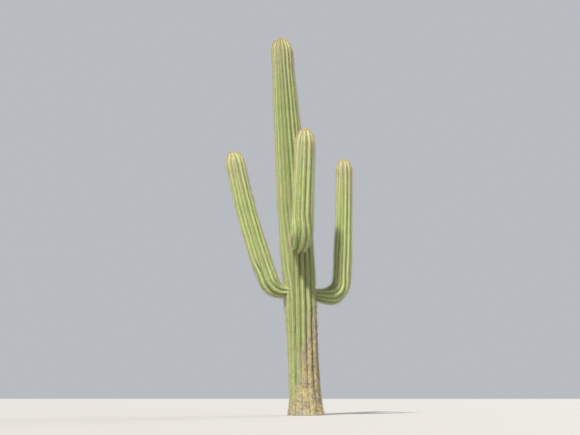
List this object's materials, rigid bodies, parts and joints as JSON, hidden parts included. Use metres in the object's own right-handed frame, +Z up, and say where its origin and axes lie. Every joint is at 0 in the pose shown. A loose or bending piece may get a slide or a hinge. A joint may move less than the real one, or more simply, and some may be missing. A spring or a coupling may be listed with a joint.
{
  "type": "saguaro cactus",
  "caption": "Tall fluted saguaro cactus, rooted in level ground: a leaning, tapering trunk with arms that leave it through narrow necks, sweep out and turn up beside it.",
  "frame": {"origin": "middle of the flat cut under the trunk, at ground level", "axes": "+Z straight up from level ground; the trunk leans a little towards -X; one arm stands towards -X, one towards +X and a little +Y, and one towards -Y, which is the side the picture shows"},
  "size_m": [2.1833, 1.3934, 6.6],
  "materials": {
    "trunk_skin": "satin",
    "arm_skin": "satin",
    "spines": "matte",
    "felt": "matte"
  },
  "bodies": {
    "root": {"trunk": "trunk_skin", "left_arm_elbow": "arm_skin", "left_arm_upright": "arm_skin", "right_arm_elbow": "arm_skin", "right_arm_upright": "arm_skin", "front_arm_elbow": "arm_skin", "front_arm_upright": "arm_skin"}
  },
  "joints": []
}
